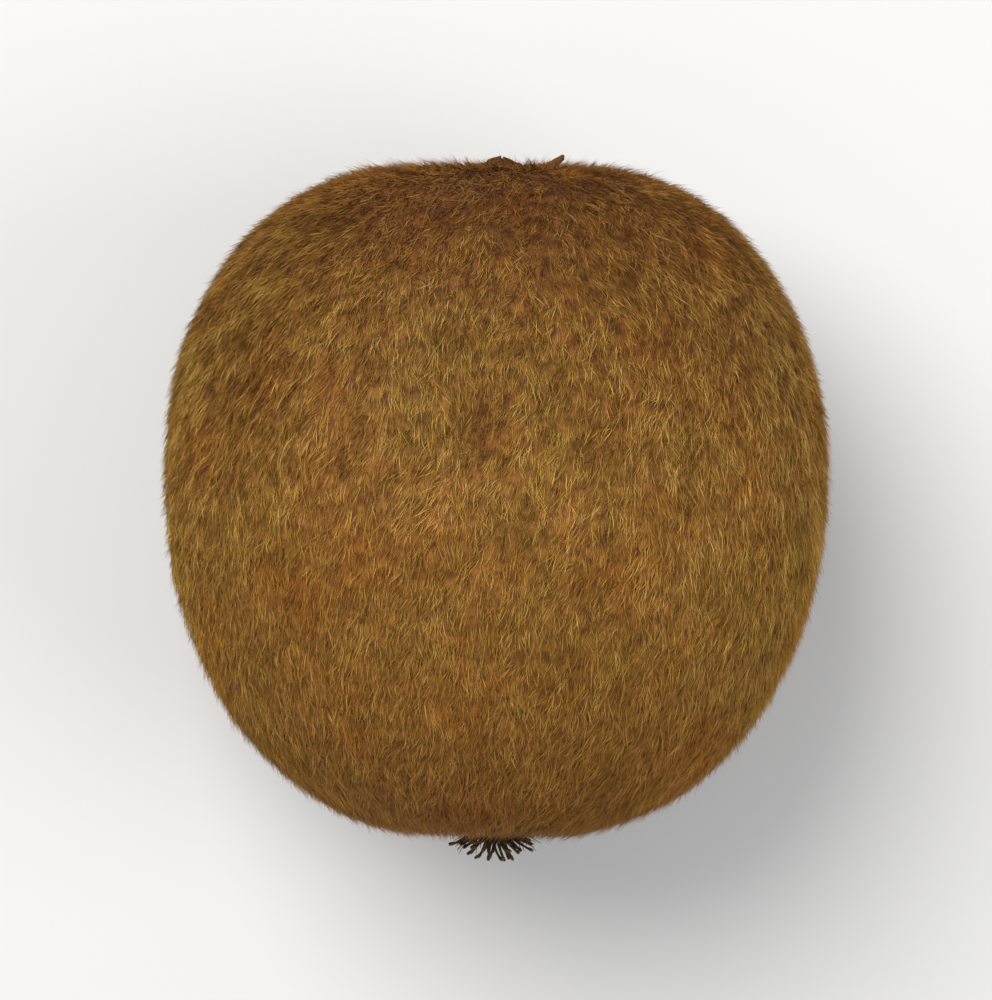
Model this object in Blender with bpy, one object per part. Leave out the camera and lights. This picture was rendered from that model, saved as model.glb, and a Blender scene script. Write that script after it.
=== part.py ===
"""A whole kiwifruit lying on its side, with the dried flower parts that stay on its two ends.

The fruit's axis runs along Y: the stalk end is at +Y and the blossom end at -Y. X is the width
and Z the height. The origin is under the middle of the object, on the surface that it lies on.
Lengths are in metres.
"""

import math
import random

import bmesh
import bpy
from mathutils import Vector

MM = 0.001

WIDTH = 54.2 * MM
HEIGHT = 51.0 * MM
GIRTH_FULLNESS = 2.08
REST_PRESS = 0.25 * MM
RINGS = 44
SECTORS = 64

# Each half of the fruit: its reach along the axis from the widest section, the fullness of its
# end and the fullness of its side, where 2 and 2 give an ellipse
STALK_HALF = (25.3 * MM, 3.0, 2.0)
BLOSSOM_HALF = (30.2 * MM, 2.4, 2.1)

# Soft ribs round the girth, each as its number, its share of the radius and its turn
RIBS = ((3, 0.007, 0.6), (4, 0.004, 2.0), (5, 0.003, 4.1))

# Shallow hollows at the ends, with a low boss in the blossom end's hollow
STALK_HOLLOW_DEPTH = 1.5 * MM
STALK_HOLLOW_RADIUS = 6.5 * MM
BLOSSOM_HOLLOW_DEPTH = 1.4 * MM
BLOSSOM_HOLLOW_RADIUS = 6.0 * MM
BLOSSOM_BOSS_HEIGHT = 0.5 * MM
BLOSSOM_BOSS_RADIUS = 3.0 * MM

# What sits on the skin stays this far off it
CLEARANCE = 0.3 * MM

# Scar where the stalk broke off
SCAR_RADIUS = 2.3 * MM
SCAR_HEIGHT = 1.2 * MM
SCAR_CUP_DEPTH = 0.5 * MM
SCAR_SIDES = 28

# Dried sepals round the scar
SEPALS = 5
SEPAL_LENGTH = 3.2 * MM
SEPAL_WIDTH = 4.0 * MM
SEPAL_THICKNESS = 0.65 * MM
SEPAL_LIFT = 0.4 * MM
SEPAL_STEPS_ALONG = 8
SEPAL_STEPS_ACROSS = 4
COLLAR_INNER = SCAR_RADIUS + 0.4 * MM
COLLAR_OUTER = COLLAR_INNER + 1.1 * MM
COLLAR_SIDES = 40
SEPAL_SEED = 7

# Dried styles at the blossom end, on a small hard button
STYLES = 34
STYLE_LENGTH = 2.1 * MM
STYLE_ROOT_RADIUS = 0.26 * MM
STYLE_TIP_RADIUS = 0.12 * MM
STYLE_SPLAY = math.radians(74)
STYLE_ROOT_DEPTH = 0.35 * MM
STYLE_SIDES = 5
STYLE_STEPS = 3
BUTTON_RADIUS = 1.9 * MM
BUTTON_HEIGHT = 0.9 * MM
BUTTON_SIDES = 28
STYLE_SEED = 19
GOLDEN_TURN = math.pi * (3 - math.sqrt(5))


def clear_scene():
    for obj in list(bpy.data.objects):
        bpy.data.objects.remove(obj)


def make_material(name, colour, roughness):
    material = bpy.data.materials.new(name)
    material.use_nodes = True
    shader = material.node_tree.nodes["Principled BSDF"]
    shader.inputs["Base Color"].default_value = (*colour, 1.0)
    shader.inputs["Roughness"].default_value = roughness
    shader.inputs["Metallic"].default_value = 0.0
    material.diffuse_color = (*colour, 1.0)
    return material


def signed_power(value, exponent):
    return math.copysign(abs(value) ** exponent, value)


def girth_point(angle):
    """The widest section's outline at this angle round the axis, as (x, z)."""
    exponent = 2 / GIRTH_FULLNESS
    rib = 1 + sum(share * math.cos(number * angle + turn) for number, share, turn in RIBS)
    x = WIDTH / 2 * rib * signed_power(math.cos(angle), exponent)
    z = HEIGHT / 2 * rib * signed_power(math.sin(angle), exponent)
    return x, z


def end_relief(side, distance):
    """How far an end stands out of the plain profile at this distance from the axis."""
    if side > 0:
        return -STALK_HOLLOW_DEPTH * math.exp(-((distance / STALK_HOLLOW_RADIUS) ** 2))
    hollow = BLOSSOM_HOLLOW_DEPTH * math.exp(-((distance / BLOSSOM_HOLLOW_RADIUS) ** 2))
    boss = BLOSSOM_BOSS_HEIGHT * math.exp(-((distance / BLOSSOM_BOSS_RADIUS) ** 2))
    return boss - hollow


def skin_point(side, share, angle):
    """A point of the skin: side is +1 for the stalk half, share is 0 on the axis and 1 at the widest."""
    x, z = (share * value for value in girth_point(angle))
    reach, end_fullness, side_fullness = STALK_HALF if side > 0 else BLOSSOM_HALF
    plain = reach * (1 - share**end_fullness) ** (1 / side_fullness)
    return Vector((x, side * (plain + end_relief(side, math.hypot(x, z))), z))


def end_point(side, distance, angle, lift):
    """A point this far from the axis and this far off the skin at one end."""
    share = distance / math.hypot(*girth_point(angle))
    return skin_point(side, share, angle) + Vector((0, side * lift, 0))


def object_from(bm, name, material):
    bmesh.ops.recalc_face_normals(bm, faces=bm.faces)
    mesh = bpy.data.meshes.new(name)
    bm.to_mesh(mesh)
    bm.free()
    mesh.materials.append(material)
    mesh.shade_smooth()
    obj = bpy.data.objects.new(name, mesh)
    bpy.context.scene.collection.objects.link(obj)
    return obj


def bridge(bm, first, second):
    """Joins two closed rings of the same number of vertices, or a ring and a single vertex."""
    count = max(len(first), len(second))
    for i in range(count):
        j = (i + 1) % count
        if len(first) == 1:
            bm.faces.new((first[0], second[i], second[j]))
        elif len(second) == 1:
            bm.faces.new((first[i], first[j], second[0]))
        else:
            bm.faces.new((first[i], first[j], second[j], second[i]))


def loft(bm, rings):
    """A closed body through rings of points, each ring a list, with a flat cap on each open end."""
    made = [[bm.verts.new(point) for point in ring] for ring in rings]
    for first, second in zip(made, made[1:]):
        bridge(bm, first, second)
    for end in (made[0], made[-1]):
        if len(end) > 1:
            bm.faces.new(end)


def fruit_rings():
    """Rings from the stalk end to the blossom end, closer together near the ends."""
    rings = [[skin_point(1, 0, 0)]]
    for k in range(1, RINGS):
        turn = (1 - math.cos(math.pi * k / RINGS)) * math.pi / 2
        side = 1 if turn <= math.pi / 2 else -1
        end_fullness = STALK_HALF[1] if side > 0 else BLOSSOM_HALF[1]
        share = min(1, math.sin(turn) ** (2 / end_fullness))
        rings.append([skin_point(side, share, math.tau * i / SECTORS) for i in range(SECTORS)])
    rings.append([skin_point(-1, 0, 0)])
    return rings


def press_resting_spot(bm, floor):
    """Cuts the underside off level, which leaves the small flat spot that the fruit lies on."""
    bmesh.ops.bisect_plane(
        bm,
        geom=bm.verts[:] + bm.edges[:] + bm.faces[:],
        plane_co=(0, 0, floor),
        plane_no=(0, 0, -1),
        clear_outer=True,
    )
    rim = [edge for edge in bm.edges if edge.is_boundary]
    bmesh.ops.holes_fill(bm, edges=rim, sides=0)


def make_fruit(material):
    bm = bmesh.new()
    loft(bm, fruit_rings())
    lowest = min(vertex.co.z for vertex in bm.verts)
    press_resting_spot(bm, lowest + REST_PRESS)
    return object_from(bm, "fruit", material)


def make_stalk_scar(material):
    """A low corky disc with a cupped top, seated in the stalk end's hollow."""
    seat = end_point(1, SCAR_RADIUS, 0, CLEARANCE).y
    outline = (
        (0.86, 0.00),
        (1.00, 0.30),
        (0.98, 0.72),
        (0.88, 0.94),
        (0.74, 1.00),
        (0.58, 0.94),
    )
    rings = []
    for radius_share, height_share in outline:
        radius = SCAR_RADIUS * radius_share
        y = seat + SCAR_HEIGHT * height_share
        steps = (math.tau * i / SCAR_SIDES for i in range(SCAR_SIDES))
        rings.append([(radius * math.cos(a), y, radius * math.sin(a)) for a in steps])
    rings.append([(0, seat + SCAR_HEIGHT - SCAR_CUP_DEPTH, 0)])
    bm = bmesh.new()
    loft(bm, rings)
    return object_from(bm, "stalk_scar", material)


def make_collar(name, material):
    """The ring that the sepals grow from, lying on the skin round the scar."""
    bm = bmesh.new()
    levels = (
        (COLLAR_INNER, CLEARANCE),
        (COLLAR_OUTER, CLEARANCE),
        (COLLAR_OUTER, CLEARANCE + SEPAL_THICKNESS),
        (COLLAR_INNER, CLEARANCE + SEPAL_THICKNESS),
    )
    steps = [math.tau * i / COLLAR_SIDES for i in range(COLLAR_SIDES)]
    rings = [[bm.verts.new(end_point(1, r, a, h)) for a in steps] for r, h in levels]
    for first, second in zip(rings, rings[1:] + rings[:1]):
        bridge(bm, first, second)
    return object_from(bm, name, material)


def sepal_section(along, centre_angle, length, lift):
    """One cross-section of a sepal, as a closed ring: over the top, then back underneath."""
    distance = COLLAR_INNER + 0.4 * MM + length * along
    half_width = SEPAL_WIDTH / 2 * math.sin(math.pi * (0.28 + 0.66 * along)) ** 0.65
    rise = CLEARANCE + 0.02 * MM + lift * along**2
    top, under = [], []
    for j in range(SEPAL_STEPS_ACROSS + 1):
        across = 2 * j / SEPAL_STEPS_ACROSS - 1
        angle = centre_angle + across * half_width / distance
        curl = 0.25 * MM * across**2 * along
        top.append(end_point(1, distance, angle, rise + curl + SEPAL_THICKNESS))
        under.append(end_point(1, distance, angle, rise + curl))
    return top + under[::-1]


def make_sepal(index, dice, material):
    centre_angle = math.tau * (index + dice.uniform(-0.08, 0.08)) / SEPALS + 0.3
    length = SEPAL_LENGTH * dice.uniform(0.85, 1.1)
    lift = SEPAL_LIFT * dice.uniform(0.5, 1.4)
    steps = [k / SEPAL_STEPS_ALONG for k in range(SEPAL_STEPS_ALONG + 1)]
    bm = bmesh.new()
    loft(bm, [sepal_section(step, centre_angle, length, lift) for step in steps])
    return object_from(bm, f"sepal_{index}", material)


def button_height(distance):
    """Height of the hard button's domed top above its seat."""
    return BUTTON_HEIGHT * math.sqrt(max(0, 1 - 0.75 * (distance / BUTTON_RADIUS) ** 2))


def make_button(name, seat, material):
    radii = [BUTTON_RADIUS * share for share in (1.0, 0.97, 0.85, 0.65, 0.4, 0.2)]
    steps = [math.tau * i / BUTTON_SIDES for i in range(BUTTON_SIDES)]
    rings = [[(BUTTON_RADIUS * math.cos(a), seat, BUTTON_RADIUS * math.sin(a)) for a in steps]]
    for radius in radii:
        y = seat - button_height(radius)
        rings.append([(radius * math.cos(a), y, radius * math.sin(a)) for a in steps])
    rings.append([(0, seat - button_height(0), 0)])
    bm = bmesh.new()
    loft(bm, rings)
    return object_from(bm, name, material)


def make_style(index, seat, dice, material):
    """One dried style: a thin spike that leans outwards more, the further out it stands."""
    outward = math.sqrt((index + 0.5) / STYLES)
    angle = index * GOLDEN_TURN + dice.uniform(-0.2, 0.2)
    splay = STYLE_SPLAY * outward + dice.uniform(-0.12, 0.12)
    length = STYLE_LENGTH * dice.uniform(0.7, 1.15)
    droop = dice.uniform(-0.1, 0.45)
    distance = 0.8 * BUTTON_RADIUS * outward
    radial = Vector((math.cos(angle), 0, math.sin(angle)))
    away = Vector((0, -1, 0))
    point = radial * distance + Vector((0, seat - button_height(distance), 0))
    heading = radial * math.sin(splay) + away * math.cos(splay)
    point -= heading * STYLE_ROOT_DEPTH
    side = heading.cross(away)
    side = side.normalized() if side.length > 0.01 else Vector((1, 0, 0))
    rings = []
    for k in range(STYLE_STEPS + 1):
        along = k / STYLE_STEPS
        radius = STYLE_ROOT_RADIUS + (STYLE_TIP_RADIUS - STYLE_ROOT_RADIUS) * along
        lean = splay + droop * along**2
        heading = radial * math.sin(lean) + away * math.cos(lean)
        other = heading.cross(side)
        turns = (math.tau * i / STYLE_SIDES for i in range(STYLE_SIDES))
        rings.append([point + radius * (side * math.cos(t) + other * math.sin(t)) for t in turns])
        point = point + heading * (length + STYLE_ROOT_DEPTH) / STYLE_STEPS
    bm = bmesh.new()
    loft(bm, rings)
    return object_from(bm, f"style_{index}", material)


def join_all(base, pieces):
    """Fuses the pieces into the base as one body, then removes them."""
    group = bpy.data.collections.new(base.name + "_pieces")
    bpy.context.scene.collection.children.link(group)
    for piece in pieces:
        bpy.context.scene.collection.objects.unlink(piece)
        group.objects.link(piece)
    union = base.modifiers.new("union", "BOOLEAN")
    union.operation = "UNION"
    union.operand_type = "COLLECTION"
    union.collection = group
    union.solver = "EXACT"
    graph = bpy.context.evaluated_depsgraph_get()
    fused = bpy.data.meshes.new_from_object(base.evaluated_get(graph))
    base.modifiers.remove(union)
    base.data = fused
    for piece in pieces:
        bpy.data.objects.remove(piece)
    bpy.data.collections.remove(group)
    return base


def make_dried_sepals(material):
    dice = random.Random(SEPAL_SEED)
    collar = make_collar("dried_sepals", material)
    return join_all(collar, [make_sepal(i, dice, material) for i in range(SEPALS)])


def make_dried_styles(material):
    dice = random.Random(STYLE_SEED)
    seat = end_point(-1, 0, 0, CLEARANCE).y
    button = make_button("dried_styles", seat, material)
    return join_all(button, [make_style(i, seat, dice, material) for i in range(STYLES)])


def stand_on_origin(pieces):
    """Moves the whole object so that the origin is under its middle, on the resting surface."""
    corners = [vertex.co for piece in pieces for vertex in piece.data.vertices]
    low = Vector(min(corner[i] for corner in corners) for i in range(3))
    high = Vector(max(corner[i] for corner in corners) for i in range(3))
    whole = bpy.data.objects.new("kiwifruit", None)
    bpy.context.scene.collection.objects.link(whole)
    whole.location = (-(low.x + high.x) / 2, -(low.y + high.y) / 2, -low.z)
    for piece in pieces:
        piece.parent = whole


def main():
    clear_scene()
    skin = make_material("fuzzy_skin", (0.246, 0.122, 0.035), 0.85)
    cork = make_material("stalk_cork", (0.300, 0.190, 0.090), 0.90)
    papery = make_material("dry_sepal", (0.130, 0.060, 0.025), 0.90)
    charred = make_material("dry_style", (0.035, 0.018, 0.010), 0.85)
    stand_on_origin(
        [
            make_fruit(skin),
            make_stalk_scar(cork),
            make_dried_sepals(papery),
            make_dried_styles(charred),
        ]
    )


main()
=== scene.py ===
"""The looks of a whole fuzzy kiwifruit: hairy brown skin, a corky stalk scar with dried sepals at
one end, and a tuft of dried styles at the other.

The fruit lies along Y, with its stalk end at +Y, and the camera looks straight down on it.
"""

import math
import random

import bmesh
import bpy
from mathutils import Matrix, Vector, noise
from mathutils.bvhtree import BVHTree


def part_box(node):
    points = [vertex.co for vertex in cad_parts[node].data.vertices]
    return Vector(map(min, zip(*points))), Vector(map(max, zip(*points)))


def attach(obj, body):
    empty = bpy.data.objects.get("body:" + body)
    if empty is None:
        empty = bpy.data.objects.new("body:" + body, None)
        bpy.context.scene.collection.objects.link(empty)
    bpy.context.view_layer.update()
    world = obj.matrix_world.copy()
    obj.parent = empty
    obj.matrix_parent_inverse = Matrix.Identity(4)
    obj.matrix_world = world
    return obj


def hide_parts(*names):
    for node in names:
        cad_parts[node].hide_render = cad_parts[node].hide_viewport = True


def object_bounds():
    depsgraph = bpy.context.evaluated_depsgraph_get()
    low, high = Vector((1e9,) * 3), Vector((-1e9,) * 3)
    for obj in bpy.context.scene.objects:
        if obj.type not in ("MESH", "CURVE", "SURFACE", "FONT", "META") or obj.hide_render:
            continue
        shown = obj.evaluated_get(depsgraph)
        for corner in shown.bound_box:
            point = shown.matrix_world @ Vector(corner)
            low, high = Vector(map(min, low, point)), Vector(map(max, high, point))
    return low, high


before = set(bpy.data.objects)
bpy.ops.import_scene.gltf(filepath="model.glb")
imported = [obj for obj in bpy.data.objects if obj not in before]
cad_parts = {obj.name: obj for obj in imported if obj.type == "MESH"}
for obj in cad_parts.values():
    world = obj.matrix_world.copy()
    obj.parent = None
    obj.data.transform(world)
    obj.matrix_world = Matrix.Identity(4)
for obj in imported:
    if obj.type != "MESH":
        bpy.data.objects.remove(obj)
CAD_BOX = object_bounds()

MM = 0.001
BODY = "root"

# The camera sees the fruit's width over this share of the picture's width
IMAGE_WIDTH, IMAGE_HEIGHT = 992, 1000
FRUIT_SHARE_OF_WIDTH = 0.66
LENS_MM = 180
SENSOR_MM = 36

# Floor, soft round lights and the light from all round
FLOOR_SIZE = 4.0
LIGHT_SIZE = 0.40
LIGHT_TARGET = Vector((0, 0, 0.025))
ROOM_LIGHT = 0.585

# Skin under the hairs: corners this near are joined, and so are triangles that lie this flat.
# Slow and quick unevenness are each a size and a height, and the skin keeps this far off the
# surface that the fruit rests on
WELD = 0.001 * MM
FLAT_ANGLE = math.radians(40)
SKIN_SWELLS = ((6.0 * MM, 0.16 * MM), (1.6 * MM, 0.05 * MM))
SKIN_LIFT = 0.09 * MM

# The way that hairs run: turned a little from the way between the ends, in slow swirls, and
# spreading out from the axis near the stalk end and in towards it near the other
SLANT = math.radians(-9)
SWIRL = math.radians(60)
SWIRL_SIZE = 12 * MM
END_SPREAD = 2.4

# Locks that hairs cling together in: how many on a square metre, the share of the way to the
# lock's middle that a hair is pulled, and how far a lock may turn, darken or lighten its hairs
SMALL_LOCKS = dict(density=2.0e6, seed=5, pull=0.9, turn=math.radians(15), tone=0.23, tone_seed=47)
LARGE_LOCKS = dict(density=0.5e6, seed=6, pull=0.35, turn=math.radians(17), tone=0.13, tone_seed=49)

# Cover: bare and then full at these distances from the axis, and sparse to thick in patches
STALK_BARE = (3.0 * MM, 6.0 * MM)
BLOSSOM_BARE = (1.6 * MM, 2.4 * MM)
SPARSE, THICK = 0.45, 1.55
PATCH_SIZE = 9 * MM

# The ends with their shoulders reach this far in along the axis, and fade out between these
# distances from it. There are more hairs on them, and they are longer, more upright and darker
END_DEPTH = 20 * MM
SHOULDER = (7 * MM, 16 * MM)
SHOULDER_COVER = 0.6
SHOULDER_LENGTH = 0.1
SHOULDER_LEAN = -0.05
SHOULDER_TONE = -0.12

# One hair: how much it swells between root and tip, how deep its root sits, and what varies
HAIR_SWELL = 1.6
ROOT_SINK = 0.12 * MM
DROOP_TURN = 1.1
HAIR_LENGTHS = (0.55, 1.2)
HAIR_WIDTHS = (0.75, 1.25)
TURN_SEED, LEAN_SEED, DROOP_SEED, LENGTH_SEED, WIDTH_SEED, TONE_SEED = 11, 23, 29, 37, 41, 53

# Tone: each hair's own share, slow streaks along the fruit, and a contrast that grows from the
# first place on Y to the second
OWN_TONE = 0.14
STREAK_TONE = 0.5
STREAK_SIZE = 3.5 * MM
STREAK_SHAPE = (1.0, 0.5, 1.0)
CONTRAST_PLACES = (-12 * MM, 16 * MM)
LOW_CONTRAST, HIGH_CONTRAST = 0.8, 1.8

# Hairs under the fruit: their least height, and the share that is left of what lies below it
HAIR_LIFT = 0.06 * MM
HAIR_SQUASH = 0.03

# Stalk scar: the cupped disc of cork that the stalk left, with its relief as shares of its height
SCAR_SECTORS = 120
SCAR_FACE_RINGS = 34
SCAR_RIM = 0.88
SCAR_CUP = 0.42
SCAR_PITH = 0.1
SCAR_WEAR = 0.05
SCAR_RAYS = 0.07
SCAR_BUNDLES = 21
SCAR_BUNDLE_HEIGHT = 0.06
SCAR_SEAM = 0.09
SCAR_ROUGHNESS = ((7, 0.09), (19, 0.05))
SCAR_CRACKS = 6
SCAR_CRACK_DEPTHS = (0.1, 0.3)
SCAR_CRACK_WIDTH = 0.035
SCAR_SEED = 13

# Where each kind of relief lies on the scar's face: the middle and width of a band across its
# radius, as shares of that radius
RAY_BAND = (0.6, 0.3)
BUNDLE_BAND = (0.54, 0.07)
SEAM_BAND = (0.73, 0.03)
CRACK_BAND = (0.8, 0.3)
PITH_BAND = (0.0, 0.14)

# Dried sepals, set out as on the solid that they stand for
SEPALS = 5
SEPAL_SEED = 7
SEPAL_TURN = 0.3
SEPAL_ROOT = 3.1 * MM
SEPAL_LENGTH = 3.2 * MM
SEPAL_WIDTH = 4.0 * MM
SEPAL_THICKNESS = 0.12 * MM
SEPAL_LIFT = 0.4 * MM
SEPAL_CLEARANCE = 0.32 * MM
SEPAL_STEPS_ALONG = 26
SEPAL_STEPS_ACROSS = 20
SEPAL_NOTCH = 0.5 * MM
SEPAL_CREASE = 0.16 * MM
SEPAL_VEIN = 0.035 * MM
SEPAL_RIB = 0.09 * MM

# The collar that the sepals grow from, as the distance from the axis and the level of each corner
# of its section in millimetres, with what lies past its lip torn by this much
COLLAR_SECTORS = 120
COLLAR_SECTION_MM = (
    (2.44, -0.05),
    (3.0, 0.0),
    (3.6, 0.0),
    (3.75, 0.14),
    (3.5, 0.42),
    (3.1, 0.58),
    (2.8, 0.48),
    (2.55, 0.2),
)
COLLAR_LIP_MM = 2.7
COLLAR_TEAR_MM = 0.14

# Dried styles on their button, set out as on the solid that they stand for
STYLES = 34
STYLE_SEED = 19
STYLE_LENGTH = 2.1 * MM
STYLE_RADIUS = 0.16 * MM
STYLE_SUNK = 0.3 * MM
STYLE_SPAN = 0.8
STYLE_SPLAY = math.radians(74)
STYLE_STEPS = 9
STYLE_SIDES = 6
BUTTON_RADIUS = 1.9 * MM
BUTTON_HEIGHT = 0.9 * MM
BUTTON_WRINKLE = 0.14 * MM
BUTTON_DOME = 0.75
BUTTON_SECTORS = 48
BUTTON_RINGS = 11
BUTTON_STEP = 0.09
GOLDEN_TURN = math.pi * (3 - math.sqrt(5))

# Shrivelled stamens round the styles
STAMENS = 90
STAMEN_SEED = 31
STAMEN_LENGTH = 2.4 * MM
STAMEN_RADIUS = 0.055 * MM
STAMEN_STEPS = 6
STAMEN_SIDES = 4


# Node helpers


def add_node(tree, kind, **settings):
    made = tree.nodes.new(kind)
    for name, value in settings.items():
        setattr(made, name, value)
    return made


def feed(tree, socket, value):
    """Links an output to a socket, or sets a plain value on it."""
    if isinstance(value, bpy.types.NodeSocket):
        tree.links.new(value, socket)
    else:
        socket.default_value = value


def fill(tree, made, **inputs):
    """Feeds a node's inputs by name, with an underscore for each space."""
    for name, value in inputs.items():
        feed(tree, made.inputs[name.replace("_", " ")], value)


def maths(tree, operation, *values):
    made = add_node(tree, "ShaderNodeMath", operation=operation)
    for socket, value in zip(made.inputs, values):
        feed(tree, socket, value)
    return made.outputs[0]


def vector_maths(tree, operation, *values):
    made = add_node(tree, "ShaderNodeVectorMath", operation=operation)
    for socket, value in zip(made.inputs, values):
        feed(tree, socket, value)
    return made.outputs["Value" if operation in {"DOT_PRODUCT", "LENGTH"} else "Vector"]


def scaled(tree, vector, factor):
    made = add_node(tree, "ShaderNodeVectorMath", operation="SCALE")
    feed(tree, made.inputs[0], vector)
    feed(tree, made.inputs["Scale"], factor)
    return made.outputs["Vector"]


def turned(tree, vector, axis, angle):
    made = add_node(tree, "ShaderNodeVectorRotate", rotation_type="AXIS_ANGLE")
    fill(tree, made, Vector=vector, Axis=axis, Angle=angle)
    return made.outputs["Vector"]


def split(tree, vector):
    """The X, Y and Z of a vector."""
    made = add_node(tree, "ShaderNodeSeparateXYZ")
    feed(tree, made.inputs[0], vector)
    return made.outputs["X"], made.outputs["Y"], made.outputs["Z"]


def joined(tree, x, y, z):
    made = add_node(tree, "ShaderNodeCombineXYZ")
    fill(tree, made, X=x, Y=y, Z=z)
    return made.outputs["Vector"]


def ramp_between(tree, value, low, high):
    """0 below the low value, 1 above the high one, and smooth between them."""
    made = add_node(tree, "ShaderNodeMapRange", interpolation_type="SMOOTHSTEP")
    fill(tree, made, Value=value, From_Min=low, From_Max=high)
    return made.outputs["Result"]


def noise_field(tree, coordinates, size, detail=2.0):
    """Noise from 0 to 1 whose features are about this size."""
    made = add_node(tree, "ShaderNodeTexNoise")
    fill(tree, made, Vector=coordinates, Scale=1 / size, Detail=detail)
    return made.outputs["Fac"]


def random_value(tree, low, high, seed, number=None):
    """A random value for each element, or for each different number."""
    made = add_node(tree, "FunctionNodeRandomValue", data_type="FLOAT")
    feed(tree, made.inputs[2], low)
    feed(tree, made.inputs[3], high)
    feed(tree, made.inputs["Seed"], seed)
    if number is not None:
        feed(tree, made.inputs["ID"], number)
    return made.outputs[1]


def position(tree):
    return add_node(tree, "GeometryNodeInputPosition").outputs[0]


def moved(tree, geometry, place):
    made = add_node(tree, "GeometryNodeSetPosition")
    fill(tree, made, Geometry=geometry, Position=place)
    return made.outputs["Geometry"]


def store(tree, geometry, name, value):
    made = add_node(tree, "GeometryNodeStoreNamedAttribute", data_type="FLOAT", domain="POINT")
    fill(tree, made, Geometry=geometry, Name=name, Value=value)
    return made.outputs["Geometry"]


def scatter(tree, mesh, density, seed):
    """Random points on a mesh, with the surface's normal at each."""
    made = add_node(tree, "GeometryNodeDistributePointsOnFaces", distribute_method="RANDOM")
    fill(tree, made, Mesh=mesh, Density=density, Seed=seed)
    return made.outputs["Points"], made.outputs["Normal"]


# Hairs by Geometry Nodes

HAIR_INPUTS = (
    ("Geometry", "NodeSocketGeometry"),
    ("Hairs Per Square Metre", "NodeSocketFloat"),
    ("Length", "NodeSocketFloat"),
    ("Root Radius", "NodeSocketFloat"),
    ("Segments", "NodeSocketInt"),
    ("Lean", "NodeSocketFloat"),
    ("Lean Spread", "NodeSocketFloat"),
    ("Turn Spread", "NodeSocketFloat"),
    ("Droop", "NodeSocketFloat"),
    ("Cling", "NodeSocketFloat"),
    ("Seed", "NodeSocketInt"),
    ("Stalk Centre", "NodeSocketVector"),
    ("Blossom Centre", "NodeSocketVector"),
    ("Material", "NodeSocketMaterial"),
)


def one_hair(tree, inputs):
    """A thin three-sided spike along Z that droops towards X, with its height kept as along."""
    length = inputs["Length"]
    cone = add_node(tree, "GeometryNodeMeshCone")
    fill(tree, cone, Vertices=3, Side_Segments=inputs["Segments"], Fill_Segments=1)
    fill(tree, cone, Radius_Top=0.0, Radius_Bottom=inputs["Root Radius"], Depth=length)
    x, y, z = split(tree, position(tree))
    share = maths(tree, "DIVIDE", z, length)
    kept = store(tree, cone.outputs["Mesh"], "along", share)
    middle = maths(tree, "MULTIPLY", share, maths(tree, "SUBTRACT", 1.0, share))
    width = maths(tree, "MULTIPLY_ADD", middle, HAIR_SWELL, 1.0)
    droop = maths(tree, "MULTIPLY", maths(tree, "POWER", share, 2.0), inputs["Droop"])
    x = maths(tree, "MULTIPLY_ADD", x, width, maths(tree, "MULTIPLY", droop, length))
    y = maths(tree, "MULTIPLY", y, width)
    return moved(tree, kept, joined(tree, x, y, maths(tree, "SUBTRACT", z, ROOT_SINK)))


def distance_from(tree, place, centre):
    """Distance from the fruit's axis near one end, and a metre more away from that end."""
    x, y, z = split(tree, vector_maths(tree, "SUBTRACT", place, centre))
    across = vector_maths(tree, "LENGTH", joined(tree, x, 0.0, z))
    away = maths(tree, "GREATER_THAN", maths(tree, "ABSOLUTE", y), END_DEPTH)
    return maths(tree, "ADD", across, away)


def hair_cover(tree, place, inputs):
    """How densely hairs grow, and how far a point is on an end or its shoulder, from 0 to 1."""
    from_stalk = distance_from(tree, place, inputs["Stalk Centre"])
    from_blossom = distance_from(tree, place, inputs["Blossom Centre"])
    grown_at_stalk = ramp_between(tree, from_stalk, *STALK_BARE)
    grown_at_blossom = ramp_between(tree, from_blossom, *BLOSSOM_BARE)
    nearest = maths(tree, "MINIMUM", from_stalk, from_blossom)
    shoulder = maths(tree, "SUBTRACT", 1.0, ramp_between(tree, nearest, *SHOULDER))
    patch = noise_field(tree, place, PATCH_SIZE)
    cover = maths(tree, "MULTIPLY_ADD", patch, THICK - SPARSE, SPARSE)
    thicker = maths(tree, "MULTIPLY_ADD", shoulder, SHOULDER_COVER, 1.0)
    cover = maths(tree, "MULTIPLY", cover, thicker)
    grown = maths(tree, "MULTIPLY", grown_at_stalk, grown_at_blossom)
    return maths(tree, "MULTIPLY", cover, grown), shoulder


def nearest_lock(tree, inputs, place, lock):
    """The number of the lock that each hair is in, how far the lock pulls it, and its turn."""
    locks, _ = scatter(tree, inputs["Geometry"], lock["density"], lock["seed"])
    nearest = add_node(tree, "GeometryNodeSampleNearest", domain="POINT")
    fill(tree, nearest, Geometry=locks, Sample_Position=place)
    number = nearest.outputs["Index"]
    centre = add_node(tree, "GeometryNodeSampleIndex", data_type="FLOAT_VECTOR", domain="POINT")
    fill(tree, centre, Geometry=locks, Value=place, Index=number)
    way = vector_maths(tree, "SUBTRACT", centre.outputs["Value"], place)
    turn = random_value(tree, -lock["turn"], lock["turn"], lock["seed"], number)
    return number, scaled(tree, way, lock["pull"]), turn


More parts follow.
